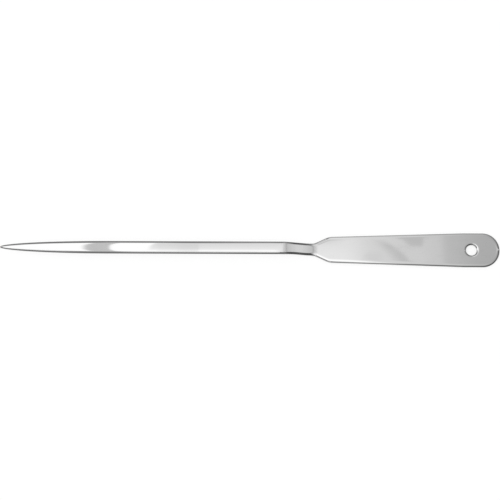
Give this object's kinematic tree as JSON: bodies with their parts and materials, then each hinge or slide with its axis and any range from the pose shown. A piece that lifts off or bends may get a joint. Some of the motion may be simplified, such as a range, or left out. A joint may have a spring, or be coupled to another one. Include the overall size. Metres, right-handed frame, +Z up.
{
  "type": "letter opener",
  "caption": "Slim one-piece metal letter opener: pointed blade with bevelled edges, cranked neck, flat tapered handle with a round end and a hanging hole.",
  "frame": {"origin": "under the middle of the length, on the plane of the handle's underside", "axes": "+X along the length from the point toward the handle's end, +Y across the width, +Z up out of the face seen in the picture"},
  "size_m": [0.24, 0.0166, 0.007],
  "materials": {
    "nickel_plate": "polished"
  },
  "bodies": {
    "root": {"blade_and_handle": "nickel_plate"}
  },
  "joints": []
}
